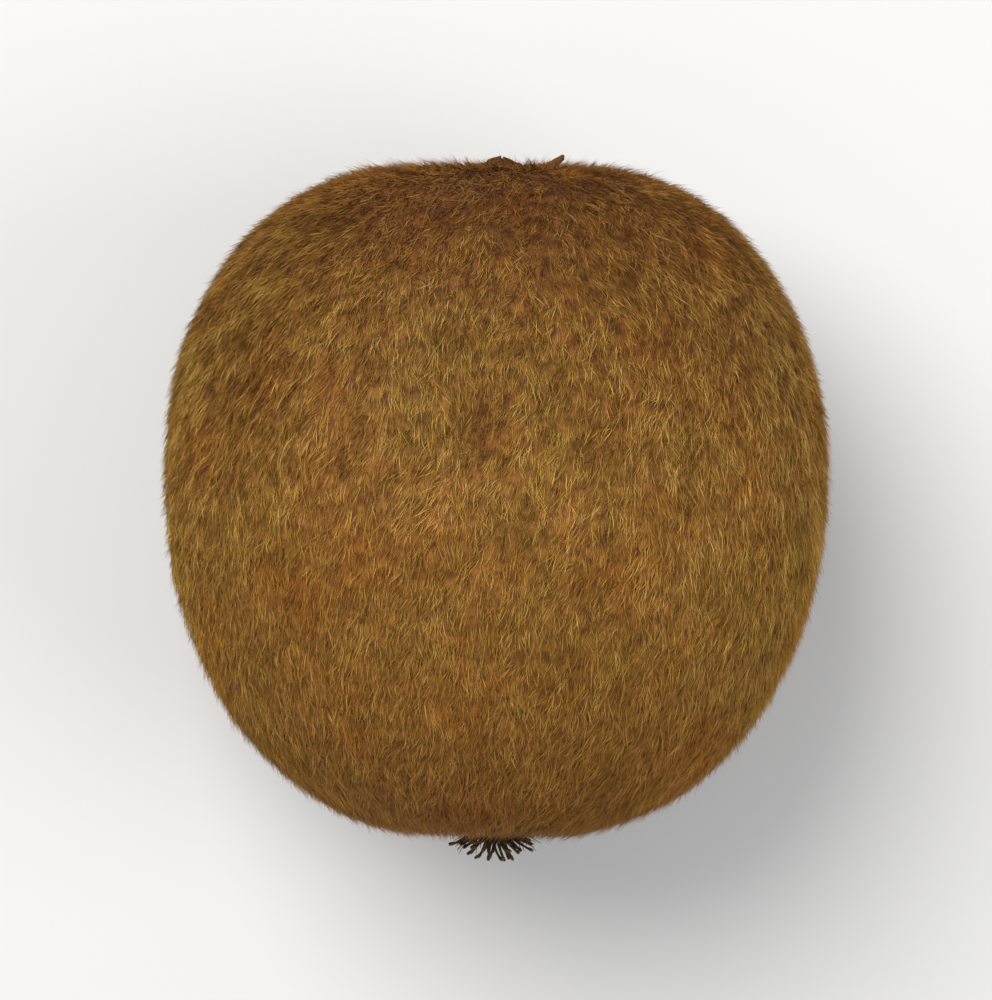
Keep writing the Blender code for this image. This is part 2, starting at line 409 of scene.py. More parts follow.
def along_the_fruit(tree, inputs, place):
    """The way from stalk to blossom end: out over one shoulder and in over the other."""
    ends = inputs["Stalk Centre"], inputs["Blossom Centre"]
    middle = scaled(tree, vector_maths(tree, "ADD", *ends), 0.5)
    length = vector_maths(tree, "LENGTH", vector_maths(tree, "SUBTRACT", *ends))
    x, y, z = split(tree, vector_maths(tree, "SUBTRACT", place, middle))
    share = maths(tree, "DIVIDE", maths(tree, "MULTIPLY", y, 2.0), length)
    cube = maths(tree, "MULTIPLY", share, maths(tree, "MULTIPLY", share, share))
    outward = vector_maths(tree, "NORMALIZE", joined(tree, x, 0.0, z))
    outward = scaled(tree, outward, maths(tree, "MULTIPLY", cube, END_SPREAD))
    return vector_maths(tree, "ADD", outward, (0.0, -1.0, 0.0))


def hair_heading(tree, inputs, place, normal, lock_turn):
    """The way that a hair runs over the skin."""
    towards = along_the_fruit(tree, inputs, place)
    rise = vector_maths(tree, "DOT_PRODUCT", normal, towards)
    flat = vector_maths(tree, "SUBTRACT", towards, scaled(tree, normal, rise))
    flat = vector_maths(tree, "NORMALIZE", flat)
    slow = maths(tree, "SUBTRACT", noise_field(tree, place, SWIRL_SIZE), 0.5)
    turn = maths(tree, "MULTIPLY_ADD", slow, SWIRL, maths(tree, "ADD", lock_turn, SLANT))
    own = random_value(tree, -1.0, 1.0, TURN_SEED)
    turn = maths(tree, "MULTIPLY_ADD", own, inputs["Turn Spread"], turn)
    return turned(tree, flat, normal, turn)


def hair_axis(tree, inputs, normal, heading, pull, shoulder):
    """The hair's own direction: leaning over the skin, and pulled towards its locks."""
    spread = random_value(tree, -1.0, 1.0, LEAN_SEED)
    lean = maths(tree, "MULTIPLY_ADD", spread, inputs["Lean Spread"], inputs["Lean"])
    lean = maths(tree, "MULTIPLY_ADD", shoulder, SHOULDER_LEAN, lean)
    upright = scaled(tree, normal, maths(tree, "COSINE", lean))
    sideways = scaled(tree, heading, maths(tree, "SINE", lean))
    free = scaled(tree, vector_maths(tree, "ADD", upright, sideways), inputs["Length"])
    clung = vector_maths(tree, "ADD", free, scaled(tree, pull, inputs["Cling"]))
    return vector_maths(tree, "NORMALIZE", clung)


def lock_tone(tree, lock, number):
    return random_value(tree, -lock["tone"], lock["tone"], lock["tone_seed"], number)


def hair_tone(tree, place, small, large, shoulder):
    """From dark to light, round a half: each lock's draw, each hair's own, and slow streaks.

    Hairs differ more towards the stalk end, and are darker on the shoulders.
    """
    draws = lock_tone(tree, SMALL_LOCKS, small)
    draws = maths(tree, "ADD", draws, lock_tone(tree, LARGE_LOCKS, large))
    draws = maths(tree, "ADD", draws, random_value(tree, -OWN_TONE, OWN_TONE, TONE_SEED))
    streak = noise_field(tree, vector_maths(tree, "MULTIPLY", place, STREAK_SHAPE), STREAK_SIZE)
    streak = maths(tree, "SUBTRACT", streak, 0.5)
    draws = maths(tree, "MULTIPLY_ADD", streak, STREAK_TONE, draws)
    _, y, _ = split(tree, place)
    stalkward = ramp_between(tree, y, *CONTRAST_PLACES)
    growth = HIGH_CONTRAST - LOW_CONTRAST
    contrast = maths(tree, "MULTIPLY_ADD", stalkward, growth, LOW_CONTRAST)
    tone = maths(tree, "MULTIPLY_ADD", draws, contrast, 0.5)
    return maths(tree, "MULTIPLY_ADD", shoulder, SHOULDER_TONE, tone)


def plant_hairs(tree, inputs, place):
    """Copies of one hair on the skin, each with its own place, lean, size and tone."""
    cover, shoulder = hair_cover(tree, place, inputs)
    density = maths(tree, "MULTIPLY", inputs["Hairs Per Square Metre"], cover)
    points, normal = scatter(tree, inputs["Geometry"], density, inputs["Seed"])

    small, small_pull, small_turn = nearest_lock(tree, inputs, place, SMALL_LOCKS)
    large, large_pull, large_turn = nearest_lock(tree, inputs, place, LARGE_LOCKS)
    pull = vector_maths(tree, "ADD", small_pull, large_pull)
    lock_turn = maths(tree, "ADD", small_turn, large_turn)
    heading = hair_heading(tree, inputs, place, normal, lock_turn)
    axis = hair_axis(tree, inputs, normal, heading, pull, shoulder)
    droop_turn = random_value(tree, -DROOP_TURN, DROOP_TURN, DROOP_SEED)
    rotation = add_node(tree, "FunctionNodeAxesToRotation", primary_axis="Z", secondary_axis="X")
    fill(tree, rotation, Primary_Axis=axis)
    fill(tree, rotation, Secondary_Axis=turned(tree, heading, axis, droop_turn))

    longer = maths(tree, "MULTIPLY_ADD", shoulder, SHOULDER_LENGTH, 1.0)
    length = maths(tree, "MULTIPLY", random_value(tree, *HAIR_LENGTHS, LENGTH_SEED), longer)
    width = random_value(tree, *HAIR_WIDTHS, WIDTH_SEED)
    toned = store(tree, points, "tone", hair_tone(tree, place, small, large, shoulder))
    planted = add_node(tree, "GeometryNodeInstanceOnPoints")
    fill(tree, planted, Points=toned, Instance=one_hair(tree, inputs))
    fill(tree, planted, Rotation=rotation.outputs[0], Scale=joined(tree, width, width, length))
    return planted.outputs["Instances"]


def press_hairs(tree, hairs, place):
    """Hairs with those under the fruit flattened between the skin and the surface."""
    x, y, z = split(tree, place)
    flattened = maths(tree, "MULTIPLY_ADD", z, HAIR_SQUASH, HAIR_LIFT * (1 - HAIR_SQUASH))
    return moved(tree, hairs, joined(tree, x, y, maths(tree, "MAXIMUM", z, flattened)))


def make_hair_tree():
    tree = bpy.data.node_groups.new("short_hairs", "GeometryNodeTree")
    for name, kind in HAIR_INPUTS:
        tree.interface.new_socket(name, in_out="INPUT", socket_type=kind)
    tree.interface.new_socket("Geometry", in_out="OUTPUT", socket_type="NodeSocketGeometry")
    inputs = add_node(tree, "NodeGroupInput").outputs
    place = position(tree)
    real = add_node(tree, "GeometryNodeRealizeInstances")
    fill(tree, real, Geometry=plant_hairs(tree, inputs, place))
    smooth = add_node(tree, "GeometryNodeSetShadeSmooth")
    fill(tree, smooth, Geometry=press_hairs(tree, real.outputs["Geometry"], place))
    painted = add_node(tree, "GeometryNodeSetMaterial")
    fill(tree, painted, Geometry=smooth.outputs["Geometry"], Material=inputs["Material"])
    result = add_node(tree, "NodeGroupOutput")
    fill(tree, result, Geometry=painted.outputs["Geometry"])
    return tree


def end_centres():
    """Where the fruit's axis meets its stalk end and its blossom end."""
    low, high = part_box("fruit")
    scar_low, scar_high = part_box("stalk_scar")
    middle = (scar_low + scar_high) / 2
    return Vector((middle.x, high.y, middle.z)), Vector((middle.x, low.y, middle.z))


def link_mesh(name, mesh):
    piece = bpy.data.objects.new(name, mesh)
    bpy.context.scene.collection.objects.link(piece)
    return piece


def plain_mesh(name, source):
    """Makes what a source object's modifiers give a plain mesh object, and drops the source."""
    graph = bpy.context.evaluated_depsgraph_get()
    mesh = bpy.data.meshes.new_from_object(source.evaluated_get(graph), depsgraph=graph)
    mesh.name = name
    bpy.data.objects.remove(source)
    return link_mesh(name, mesh)


def grow_hairs(name, skin, tree, **values):
    """Grows one layer of hairs on the skin and returns it as a plain mesh object."""
    values["Stalk_Centre"], values["Blossom_Centre"] = end_centres()
    grower = link_mesh(name + "_grower", skin.data)
    modifier = grower.modifiers.new("hairs", "NODES")
    modifier.node_group = tree
    for socket in tree.interface.items_tree:
        label = socket.name.replace(" ", "_")
        if socket.in_out == "INPUT" and label in values:
            modifier[socket.identifier] = values[label]
    return plain_mesh(name, grower)


# Materials

WHITE = (1.0, 1.0, 1.0)


def new_material(name, roughness, specular):
    """A material with its shader and its Object coordinates, ready for a colour."""
    material = bpy.data.materials.new(name)
    material.use_nodes = True
    tree = material.node_tree
    shader = tree.nodes["Principled BSDF"]
    shader.inputs["Roughness"].default_value = roughness
    shader.inputs["Specular IOR Level"].default_value = specular
    coordinates = add_node(tree, "ShaderNodeTexCoord").outputs["Object"]
    return material, tree, shader, coordinates


def colour_ramp(tree, value, *stops):
    """A colour from a value, each stop being a position and a colour."""
    made = add_node(tree, "ShaderNodeValToRGB")
    feed(tree, made.inputs["Fac"], value)
    elements = made.color_ramp.elements
    while len(elements) < len(stops):
        elements.new(0.5)
    for element, (place, colour) in zip(elements, stops):
        element.position = place
        element.color = (*colour, 1.0)
    return made.outputs["Color"]


def multiply_colour(tree, first, second):
    made = add_node(tree, "ShaderNodeMix", data_type="RGBA", blend_type="MULTIPLY")
    made.inputs["Factor"].default_value = 1.0
    feed(tree, made.inputs[6], first)
    feed(tree, made.inputs[7], second)
    return made.outputs[2]


def paint(tree, shader, colour, *tints):
    """Gives the shader a colour, multiplied by each tint."""
    for tint in tints:
        colour = multiply_colour(tree, colour, tint)
    feed(tree, shader.inputs["Base Color"], colour)


def add_bump(tree, shader, height, strength, distance):
    bump = add_node(tree, "ShaderNodeBump")
    fill(tree, bump, Height=height, Strength=strength, Distance=distance)
    feed(tree, shader.inputs["Normal"], bump.outputs["Normal"])


def named_value(tree, name):
    return add_node(tree, "ShaderNodeAttribute", attribute_name=name).outputs["Fac"]


def ripening_and_painted_shade(tree, place):
    """A tint: slow patches from olive to red-brown, darker and redder at both ends, at the stalk
    end in part painted shade.
    """
    hue = colour_ramp(
        tree,
        noise_field(tree, place, size=8 * MM),
        (0.30, (0.90, 0.95, 0.86)),
        (0.50, (0.96, 0.95, 0.95)),
        (0.70, (1.00, 0.89, 0.80)),
    )
    low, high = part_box("fruit")
    _, y, _ = split(tree, place)
    along = add_node(tree, "ShaderNodeMapRange")
    fill(tree, along, Value=y, From_Min=low.y, From_Max=high.y)
    # Darker and redder towards both ends; the strong darkening towards the stalk end is in part
    # painted shade
    ends = colour_ramp(
        tree,
        along.outputs["Result"],
        (0.00, (0.90, 0.74, 0.66)),
        (0.22, WHITE),
        (0.50, WHITE),
        (0.78, (0.77, 0.73, 0.70)),
        (0.93, (0.51, 0.41, 0.34)),
        (1.00, (0.47, 0.35, 0.28)),
    )
    return multiply_colour(tree, hue, ends)


def hair_material(name, dark, middle, light):
    """Hair whose colour follows each hair's tone and is darker at the root."""
    material, tree, shader, place = new_material(name, roughness=0.6, specular=0.16)
    tone = colour_ramp(tree, named_value(tree, "tone"), (0.0, dark), (0.5, middle), (1.0, light))
    root_shade = (0.55, 0.46, 0.36)
    shade = colour_ramp(tree, named_value(tree, "along"), (0.0, root_shade), (0.5, WHITE))
    paint(tree, shader, tone, shade, ripening_and_painted_shade(tree, place))
    return material


def skin_material():
    """Leathery brown skin with fine grain and scattered dark pores."""
    material, tree, shader, place = new_material("kiwi_skin", roughness=0.7, specular=0.16)
    fine = noise_field(tree, place, size=0.9 * MM, detail=5.0)
    colour = colour_ramp(
        tree,
        fine,
        (0.34, (0.098, 0.038, 0.009)),
        (0.50, (0.190, 0.078, 0.016)),
        (0.66, (0.290, 0.125, 0.027)),
    )
    pore_spacing = 1.6 * MM
    pores = add_node(tree, "ShaderNodeTexVoronoi")
    fill(tree, pores, Vector=place, Scale=1 / pore_spacing)
    pore = colour_ramp(tree, pores.outputs["Distance"], (0.05, (0.5, 0.45, 0.4)), (0.14, WHITE))
    paint(tree, shader, colour, ripening_and_painted_shade(tree, place), pore)
    add_bump(tree, shader, fine, strength=0.6, distance=0.15 * MM)
    return material


def cork_material():
    """Cork in rings: a darker pith, pale wood, a dark seam, and rough bark at the rim."""
    material, tree, shader, place = new_material("scar_cork", roughness=0.9, specular=0.12)
    rings = colour_ramp(
        tree,
        named_value(tree, "share"),
        (0.10, (0.200, 0.115, 0.050)),
        (0.30, (0.170, 0.095, 0.042)),
        (0.40, (0.430, 0.290, 0.150)),
        (0.64, (0.400, 0.260, 0.130)),
        (0.72, (0.075, 0.036, 0.015)),
        (0.80, (0.300, 0.180, 0.082)),
        (1.00, (0.150, 0.080, 0.035)),
    )
    grain = noise_field(tree, place, size=0.28 * MM, detail=5.0)
    specks = colour_ramp(tree, grain, (0.34, (0.36, 0.30, 0.26)), (0.62, WHITE))
    paint(tree, shader, rings, specks)
    add_bump(tree, shader, grain, strength=0.8, distance=0.1 * MM)
    return material


def papery_material():
    """Dry papery tissue with fibres along each sepal, paler towards its torn edge."""
    material, tree, shader, place = new_material("papery_sepal", roughness=0.8, specular=0.18)
    along = named_value(tree, "along")
    fibres_across = 7.0
    across = maths(tree, "MULTIPLY", named_value(tree, "across"), fibres_across)
    fibre = noise_field(tree, joined(tree, across, along, 0.0), size=1.0, detail=3.0)
    blotch = noise_field(tree, place, size=0.45 * MM, detail=4.0)
    fibre_share = 0.55
    blotch = maths(tree, "MULTIPLY", blotch, 1 - fibre_share)
    mixed = maths(tree, "MULTIPLY_ADD", fibre, fibre_share, blotch)
    colour = colour_ramp(
        tree,
        mixed,
        (0.36, (0.050, 0.021, 0.008)),
        (0.50, (0.130, 0.062, 0.024)),
        (0.62, (0.270, 0.150, 0.062)),
    )
    edge = colour_ramp(
        tree,
        along,
        (0.0, (0.55, 0.5, 0.45)),
        (0.5, (0.8, 0.8, 0.8)),
        (1.0, WHITE),
    )
    paint(tree, shader, colour, edge)
    add_bump(tree, shader, mixed, strength=0.8, distance=0.1 * MM)
    return material


def style_material():
    """Dark dried threads with browner tips."""
    material, tree, shader, place = new_material("dry_style", roughness=0.75, specular=0.14)
    grain = noise_field(tree, place, size=0.4 * MM, detail=4.0)
    colour = colour_ramp(
        tree,
        grain,
        (0.32, (0.018, 0.009, 0.004)),
        (0.50, (0.058, 0.030, 0.013)),
        (0.68, (0.165, 0.092, 0.040)),
    )
    tips = colour_ramp(tree, named_value(tree, "along"), (0.3, (0.6, 0.6, 0.6)), (1.0, WHITE))
    paint(tree, shader, colour, tips)
    add_bump(tree, shader, grain, strength=0.6, distance=0.05 * MM)
    return material


# Skin and its hairs


def dress(piece, slot, *nodes):
    """Makes a piece ride on the fruit's body and stand for CAD nodes; the slot is not used."""
    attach(piece, BODY)
    if nodes:
        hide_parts(*nodes)


def swell(point):
    """How far the skin stands out or in at a point, from noise of a few sizes."""
    return sum(noise.noise(point / size) * height for size, height in SKIN_SWELLS)


def skin_cage():
    """The solid's own surface, welded, with its triangles joined to four-sided faces."""
    bm = bmesh.new()
    bm.from_mesh(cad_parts["fruit"].data)
    bmesh.ops.remove_doubles(bm, verts=bm.verts, dist=WELD)
    bmesh.ops.join_triangles(
        bm,
        faces=bm.faces,
        angle_face_threshold=FLAT_ANGLE,
        angle_shape_threshold=FLAT_ANGLE,
    )
    mesh = bpy.data.meshes.new("skin_cage")
    bm.to_mesh(mesh)
    bm.free()
    if "custom_normal" in mesh.attributes:
        mesh.attributes.remove(mesh.attributes["custom_normal"])
    return link_mesh("skin_cage", mesh)


def make_skin(material):
    """The fruit's skin: the solid's surface, finer and slightly uneven."""
    cage = skin_cage()
    finer = cage.modifiers.new("finer", "SUBSURF")
    finer.levels = finer.render_levels = 1
    skin = plain_mesh("fuzzy_skin", cage)
    normals = [vertex.normal.copy() for vertex in skin.data.vertices]
    for vertex, normal in zip(skin.data.vertices, normals):
        vertex.co += normal * swell(vertex.co)
        vertex.co.z = max(vertex.co.z, SKIN_LIFT)
    skin.data.materials.clear()
    skin.data.materials.append(material)
    skin.data.shade_smooth()
    dress(skin, "fuzzy_skin", "fruit")
    return skin


def make_hairs(skin):
    """Layers of hairs: long guard hairs, fine hairs among them, and short ones underneath."""
    tree = make_hair_tree()
    golden = hair_material(
        "golden_hair",
        dark=(0.210, 0.088, 0.014),
        middle=(0.540, 0.290, 0.050),
        light=(0.860, 0.560, 0.140),
    )
    brown = hair_material(
        "brown_hair",
        dark=(0.130, 0.050, 0.009),
        middle=(0.340, 0.160, 0.028),
        light=(0.580, 0.320, 0.064),
    )
    guard = dict(
        Material=golden,
        Hairs_Per_Square_Metre=1.5e6,
        Length=2.1 * MM,
        Root_Radius=0.034 * MM,
        Segments=2,
        Lean=math.radians(71),
        Lean_Spread=math.radians(13),
        Turn_Spread=math.radians(16),
        Droop=0.26,
        Cling=0.9,
    )
    fine = dict(
        Material=golden,
        Hairs_Per_Square_Metre=4.5e6,
        Length=1.6 * MM,
        Root_Radius=0.027 * MM,
        Segments=1,
        Lean=math.radians(69),
        Lean_Spread=math.radians(15),
        Turn_Spread=math.radians(22),
        Droop=0.0,
        Cling=0.9,
    )
    under = dict(
        Material=brown,
        Hairs_Per_Square_Metre=2.9e6,
        Length=1.2 * MM,
        Root_Radius=0.038 * MM,
        Segments=1,
        Lean=math.radians(56),
        Lean_Spread=math.radians(24),
        Turn_Spread=math.radians(50),
        Droop=0.0,
        Cling=0.4,
    )
    layers = (
        ("guard_hairs", guard, 3, 101),
        ("fine_hairs", fine, 2, 151),
        ("under_hairs", under, 1, 201),
    )
    for name, values, copies, first_seed in layers:
        for copy in range(copies):
            seed = first_seed + copy
            layer = grow_hairs(f"{name}_{copy + 1}", skin, tree, Seed=seed, **values)
            dress(layer, "fuzzy_skin")


# Mesh helpers


def ring_of(bm, points):
    return [bm.verts.new(point) for point in points]


def mark(vertices, layer, value):
    """Keeps one value on each vertex, for a material to read."""
    for vertex in vertices:
        vertex[layer] = value


def bridge(bm, rings, closed=False):
    """Joins each ring of vertices to the next one, and the last to the first where closed."""
    following = rings[1:] + rings[:1] if closed else rings[1:]
    for first, second in zip(rings, following):
        for i in range(len(first)):
            j = (i + 1) % len(first)
            bm.faces.new((first[i], first[j], second[j], second[i]))


def cap(bm, rings):
    """Closes the first and the last ring with one flat face each."""
    bm.faces.new(rings[0])
    bm.faces.new(rings[-1])


def fan(bm, ring, tip):
    """Closes a ring to one point."""
    centre = bm.verts.new(tip)
    for i in range(len(ring)):
        bm.faces.new((ring[i], ring[(i + 1) % len(ring)], centre))


def around_axis(angle):
    """The outward direction at an angle round the fruit's axis."""
    return Vector((math.cos(angle), 0, math.sin(angle)))


def bell(value, width):
    """1 where the value is 0, falling off smoothly over about this width."""
    return math.exp(-((value / width) ** 2))


def band(value, middle_and_width):
    """A bell round its own middle."""
    middle, width = middle_and_width
    return bell(value - middle, width)


def finish_mesh(bm, name, material):
    """Turns every face outwards and returns the object, shaded smooth."""
    bmesh.ops.recalc_face_normals(bm, faces=bm.faces)
    mesh = bpy.data.meshes.new(name)
    bm.to_mesh(mesh)
    bm.free()
    mesh.materials.append(material)
    mesh.shade_smooth()
    return link_mesh(name, mesh)


# Stalk scar


def scar_profile():
    """Shares of the scar's radius and height, up its side and then in over its cupped face."""
    side = [(0.86, 0.0), (0.95, 0.2), (0.99, 0.45), (0.985, 0.7), (0.95, 0.88)]
    widest, narrowest, level = 0.91, 0.02, 0.97
    face = []
    for k in range(SCAR_FACE_RINGS):
        share = widest - (widest - narrowest) * k / (SCAR_FACE_RINGS - 1)
        inside = max(0, 1 - (share / SCAR_RIM) ** 2)
        face.append((share, level - SCAR_CUP * inside + SCAR_PITH * band(share, PITH_BAND)))
    return side + face


def scar_relief(share, angle, cracks):
    """What rises or sinks on the face: rays, the stalk's bundles, a seam and a few cracks."""
    around = around_axis(angle)
    ray = noise.noise(around * 9 + Vector((0, share * 2, 0))) * band(share, RAY_BAND)
    bundle = max(0, math.cos(SCAR_BUNDLES * angle)) * band(share, BUNDLE_BAND)
    relief = SCAR_RAYS * ray + SCAR_BUNDLE_HEIGHT * bundle - SCAR_SEAM * band(share, SEAM_BAND)
    for repeats, height in SCAR_ROUGHNESS:
        relief += height * noise.noise(around * share * repeats)
    for place, depth in cracks:
        apart = abs((angle - place + math.pi) % math.tau - math.pi)
        relief -= depth * bell(apart * share, SCAR_CRACK_WIDTH) * band(share, CRACK_BAND)
    return relief


def make_scar():
    """A corky disc with a worn rim, a cupped face and the pith's small boss in its middle."""
    low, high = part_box("stalk_scar")
    centre = (low + high) / 2
    radius = (high.x - low.x) / 2
    height = high.y - low.y
    dice = random.Random(SCAR_SEED)
    cracks = []
    for _ in range(SCAR_CRACKS):
        cracks.append((dice.uniform(0, math.tau), dice.uniform(*SCAR_CRACK_DEPTHS)))
    bm = bmesh.new()
    layer = bm.verts.layers.float.new("share")
    rings = []
    for share, rise in scar_profile():
        points = []
        for i in range(SCAR_SECTORS):
            angle = math.tau * i / SCAR_SECTORS
            around = around_axis(angle)
            wear = 0.5 + noise.noise(around * 3.2 + Vector((0, rise, 0)))
            reach = radius * share * (1 - SCAR_WEAR * wear)
            level = rise + min(1, rise * 2) * scar_relief(share, angle, cracks)
            y = low.y + height * min(1, max(0, level))
            points.append((centre.x + reach * around.x, y, centre.z + reach * around.z))
        rings.append(ring_of(bm, points))
        mark(rings[-1], layer, share)
    bridge(bm, rings)
    pith = sum(vertex.co.y for vertex in rings[-1]) / SCAR_SECTORS
    fan(bm, rings[0], (centre.x, low.y, centre.z))
    fan(bm, rings[-1], (centre.x, pith, centre.z))
    dress(finish_mesh(bm, "corky_scar", cork_material()), "stalk_cork", "stalk_scar")


# Dried sepals


def skin_finder(skin):
    """Returns a function that gives the skin's height along Y at a place on the stalk end."""
    corners = [vertex.co.copy() for vertex in skin.data.vertices]
    faces = [tuple(face.vertices) for face in skin.data.polygons]
    surface = BVHTree.FromPolygons(corners, faces)
    beyond = CAD_BOX[1].y + 5 * MM

    def height(x, z):
        return surface.ray_cast(Vector((x, beyond, z)), Vector((0, -1, 0)))[0].y

    return height


def sepal_point(skin_height, centre, sepal, u, v, level):
    """A point on a sepal, at shares along (0 to 1) and across (-1 to 1), and a level above it."""
    number = sepal["number"]
    half_width = SEPAL_WIDTH / 2 * math.sin(math.pi * (0.28 + 0.66 * u)) ** 0.65
    half_width *= math.sqrt(max(0.02, 1 - max(0, (u - 0.72) / 0.28) ** 2))
    torn = noise.noise(Vector((u * 9, v * 1.3, number * 9.7)))
    torn += 0.5 * noise.noise(Vector((u * 26, v * 1.3, number * 4.1)))
    distance = SEPAL_ROOT + sepal["length"] * u
    turn = sepal["angle"] + v * half_width * (1 + 0.3 * torn * u) / distance
    distance -= SEPAL_NOTCH * max(0, noise.noise(Vector((v * 3.4, number, 0)))) * u**3
    x = centre.x + distance * math.cos(turn)
    z = centre.z + distance * math.sin(turn)

    crease = SEPAL_CREASE * noise.noise(Vector((u * 3, v * 3, number * 5.3))) * u
    vein = SEPAL_VEIN * math.cos(v * 5 * math.pi) * (1 - 0.6 * u)
    rib = SEPAL_RIB * bell(v, 0.12) * (1 - u)
    curl = sepal["curl"] * abs(v) ** 3 * u + sepal["tip"] * u**4
    rise = SEPAL_CLEARANCE + sepal["lift"] * u * u + curl + crease + vein + rib + level
    return Vector((x, skin_height(x, z) + rise, z))


def add_sepal(bm, skin_height, centre, sepal):
    """One papery sepal as a thin closed sheet with a ragged, curled edge."""
    along, across = bm.verts.layers.float["along"], bm.verts.layers.float["across"]
    shares = [2 * j / SEPAL_STEPS_ACROSS - 1 for j in range(SEPAL_STEPS_ACROSS + 1)]
    sides = [(v, SEPAL_THICKNESS) for v in shares] + [(v, 0.0) for v in reversed(shares)]
    rings = []
    for i in range(SEPAL_STEPS_ALONG + 1):
        u = i / SEPAL_STEPS_ALONG
        points = [sepal_point(skin_height, centre, sepal, u, v, level) for v, level in sides]
        rings.append(ring_of(bm, points))
        mark(rings[-1], along, u)
        for vertex, (v, _) in zip(rings[-1], sides):
            vertex[across] = v + 3 * sepal["number"]
    bridge(bm, rings)
    cap(bm, rings)


def add_collar(bm, skin_height, centre):
    """The torn ring that the sepals grow from, with its inner lip close round the scar."""
    across = bm.verts.layers.float["across"]
    rings = []
    for radius_mm, level_mm in COLLAR_SECTION_MM:
        points = []
        for i in range(COLLAR_SECTORS):
            around = around_axis(math.tau * i / COLLAR_SECTORS)
            torn = noise.noise(around * 6 + Vector((0, level_mm * 3, 0)))
            torn += 0.6 * noise.noise(around * 17)
            tear_mm = COLLAR_TEAR_MM * torn if radius_mm > COLLAR_LIP_MM else 0
            x = centre.x + (radius_mm + tear_mm) * MM * around.x
            z = centre.z + (radius_mm + tear_mm) * MM * around.z
            y = skin_height(x, z) + SEPAL_CLEARANCE + level_mm * (1 + 0.5 * torn) * MM
            points.append((x, y, z))
        rings.append(ring_of(bm, points))
        for i, vertex in enumerate(rings[-1]):
            vertex[across] = 4 * math.sin(math.tau * i / COLLAR_SECTORS)
    bridge(bm, rings, closed=True)


def make_sepals(skin):
    centre, _ = end_centres()
    dice = random.Random(SEPAL_SEED)
    bends = random.Random(SEPAL_SEED + 1)
    skin_height = skin_finder(skin)
    bm = bmesh.new()
    bm.verts.layers.float.new("along")
    bm.verts.layers.float.new("across")
    add_collar(bm, skin_height, centre)
    for number in range(SEPALS):
        sepal = {
            "number": number,
            "angle": math.tau * (number + dice.uniform(-0.08, 0.08)) / SEPALS + SEPAL_TURN,
            "length": SEPAL_LENGTH * dice.uniform(0.85, 1.1),
            "lift": SEPAL_LIFT * dice.uniform(0.5, 1.4),
            "curl": bends.uniform(0.1, 0.7) * MM,
            "tip": bends.uniform(-0.15, 0.5) * MM,
        }
        add_sepal(bm, skin_height, centre, sepal)
    dress(finish_mesh(bm, "papery_sepals", papery_material()), "dry_sepal", "dried_sepals")


# Dried styles and stamens


def add_thread(bm, points, radii, sides):
    """A closed thread through points, with a radius at each."""
    layer = bm.verts.layers.float["along"]
    last = len(points) - 1
    rings = []
    side = (points[1] - points[0]).orthogonal().normalized()
    for k, (point, radius) in enumerate(zip(points, radii)):
        heading = points[min(k + 1, last)] - points[max(k - 1, 0)]
        heading.normalize()
        side = (side - heading * side.dot(heading)).normalized()
        other = heading.cross(side)
        turns = (math.tau * i / sides for i in range(sides))
        ring = [point + radius * (side * math.cos(t) + other * math.sin(t)) for t in turns]
        rings.append(ring_of(bm, ring))
        mark(rings[-1], layer, k / last)
    bridge(bm, rings)
    cap(bm, rings)


def button_height(distance):
    """Height of the hard button's domed top above its seat."""
    return BUTTON_HEIGHT * math.sqrt(max(0, 1 - BUTTON_DOME * (distance / BUTTON_RADIUS) ** 2))


def add_button(bm, centre, seat):
    """The hard, wrinkled button that the styles stand on."""
    shares = [1.0] + [1.0 - BUTTON_STEP * k for k in range(BUTTON_RINGS)]
    rings = []
    for level, share in enumerate(shares):
        radius = BUTTON_RADIUS * share
        points = []
        for i in range(BUTTON_SECTORS):
            around = around_axis(math.tau * i / BUTTON_SECTORS)
            wrinkle = noise.noise(around * share * 4) * BUTTON_WRINKLE
            y = seat if level == 0 else seat - button_height(radius) - wrinkle
            points.append((centre.x + radius * around.x, y, centre.z + radius * around.z))
        rings.append(ring_of(bm, points))
    bridge(bm, rings)
    fan(bm, rings[0], (centre.x, seat, centre.z))
    fan(bm, rings[-1], (centre.x, seat - button_height(0), centre.z))


def curled_path(start, radial, splay, bend, side_bend, length, steps):
    """Points along a thread that leaves at a splay from -Y and bends outwards and sideways."""
    away = Vector((0, -1, 0))
    sideways = radial.cross(away)
    points = [start]
    for k in range(steps):
        along = (k + 0.5) / steps
        lean = splay + bend * along**2
        heading = radial * math.sin(lean) + away * math.cos(lean)
        heading += sideways * side_bend * along
        points.append(points[-1] + heading.normalized() * length / steps)
    return points


def style_radius(index, along):
    """A style's radius at a share of its length: thinner outwards, with a swollen tip."""
    swollen = 0.45 * bell(along - 0.93, 0.1)
    pinched = 0.12 * noise.noise(Vector((along * 5, index * 3.7, 0)))
    return STYLE_RADIUS * (1 - 0.5 * along + swollen + pinched)


